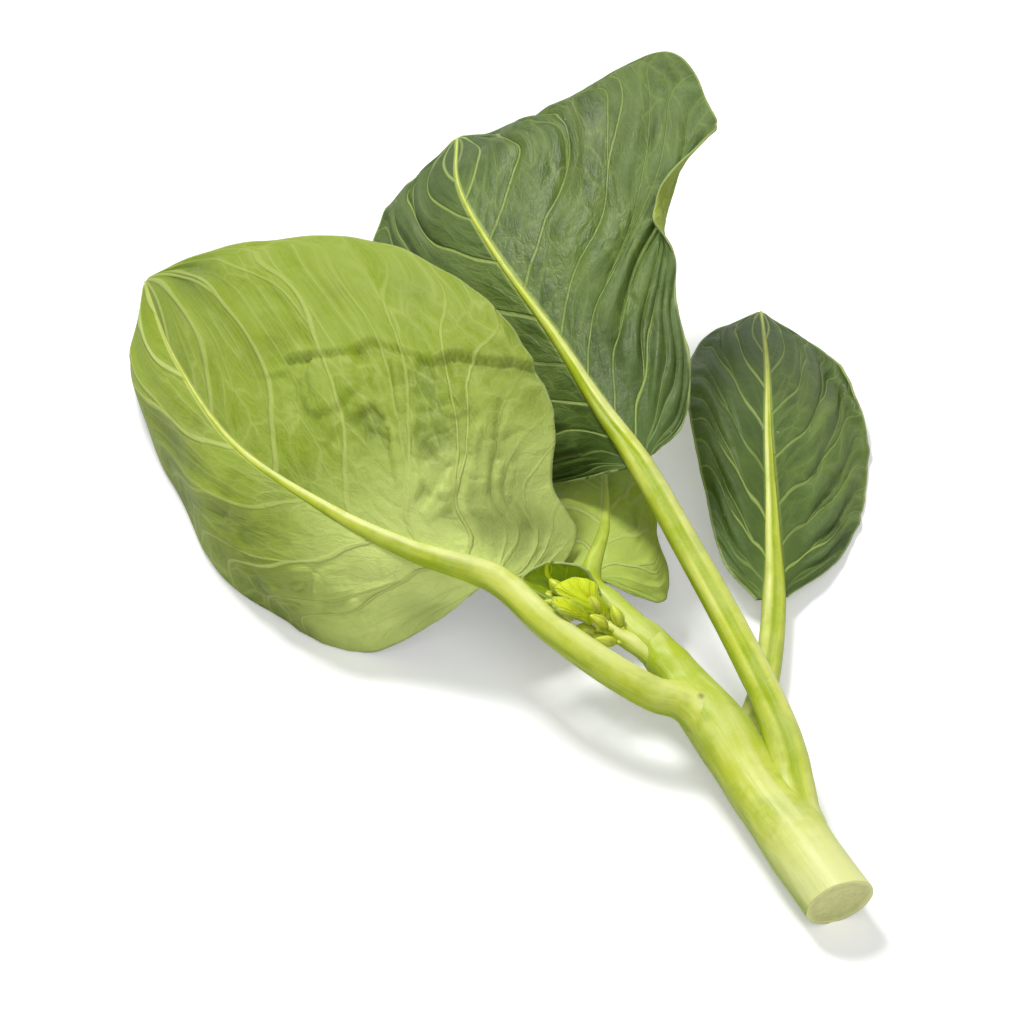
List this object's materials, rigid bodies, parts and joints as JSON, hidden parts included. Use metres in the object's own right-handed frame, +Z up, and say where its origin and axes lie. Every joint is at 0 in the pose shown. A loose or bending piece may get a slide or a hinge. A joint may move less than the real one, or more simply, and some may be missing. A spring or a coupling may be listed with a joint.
{
  "type": "chinese broccoli",
  "caption": "Cut shoot of Chinese broccoli lying on its side: a thick pale stem, broad stalked leaves spread to both sides, and a tip of flower buds between young leaves.",
  "frame": {"origin": "centre of the bounding box at its bottom, on the plane that the shoot lies on", "axes": "+Y from the cut stem end towards the leaf tips, +Z up, +X to the right seen from the cut end"},
  "size_m": [0.1689, 0.2729, 0.0694],
  "materials": {
    "stem": "juicy pale yellow-green skin with a faint waxy bloom; satin",
    "leaf_stalk": "ribbed pale green skin; satin",
    "leaf_upper_side": "dark blue-green leaf with pale veins and a waxy bloom; soft sheen",
    "leaf_underside": "pale matt leaf underside with raised veins",
    "young_leaf": "tender yellow-green leaf; soft sheen",
    "flower_bud": "closed yellow-green bud; satin"
  },
  "bodies": {
    "root": {"main_stem": "stem", "left_leaf_stalk": "leaf_stalk", "left_leaf_blade": "leaf_underside", "top_leaf_stalk": "leaf_stalk", "top_leaf_blade": "leaf_upper_side", "middle_leaf_stalk": "leaf_stalk", "middle_leaf_blade": "leaf_underside", "right_leaf_stalk": "leaf_stalk", "right_leaf_blade": "leaf_upper_side", "young_leaf_outer": "young_leaf", "young_leaf_inner": "young_leaf", "young_leaf_small": "young_leaf", "flower_stalk": "leaf_stalk", "flower_bud_01": "flower_bud", "flower_bud_02": "flower_bud", "flower_bud_03": "flower_bud", "flower_bud_04": "flower_bud", "flower_bud_05": "flower_bud", "flower_bud_06": "flower_bud", "flower_bud_07": "flower_bud", "flower_bud_08": "flower_bud", "flower_bud_09": "flower_bud", "flower_bud_10": "flower_bud", "flower_bud_11": "flower_bud", "flower_bud_12": "flower_bud", "flower_bud_13": "flower_bud", "flower_bud_14": "flower_bud", "flower_bud_15": "flower_bud", "flower_bud_16": "flower_bud"}
  },
  "joints": []
}
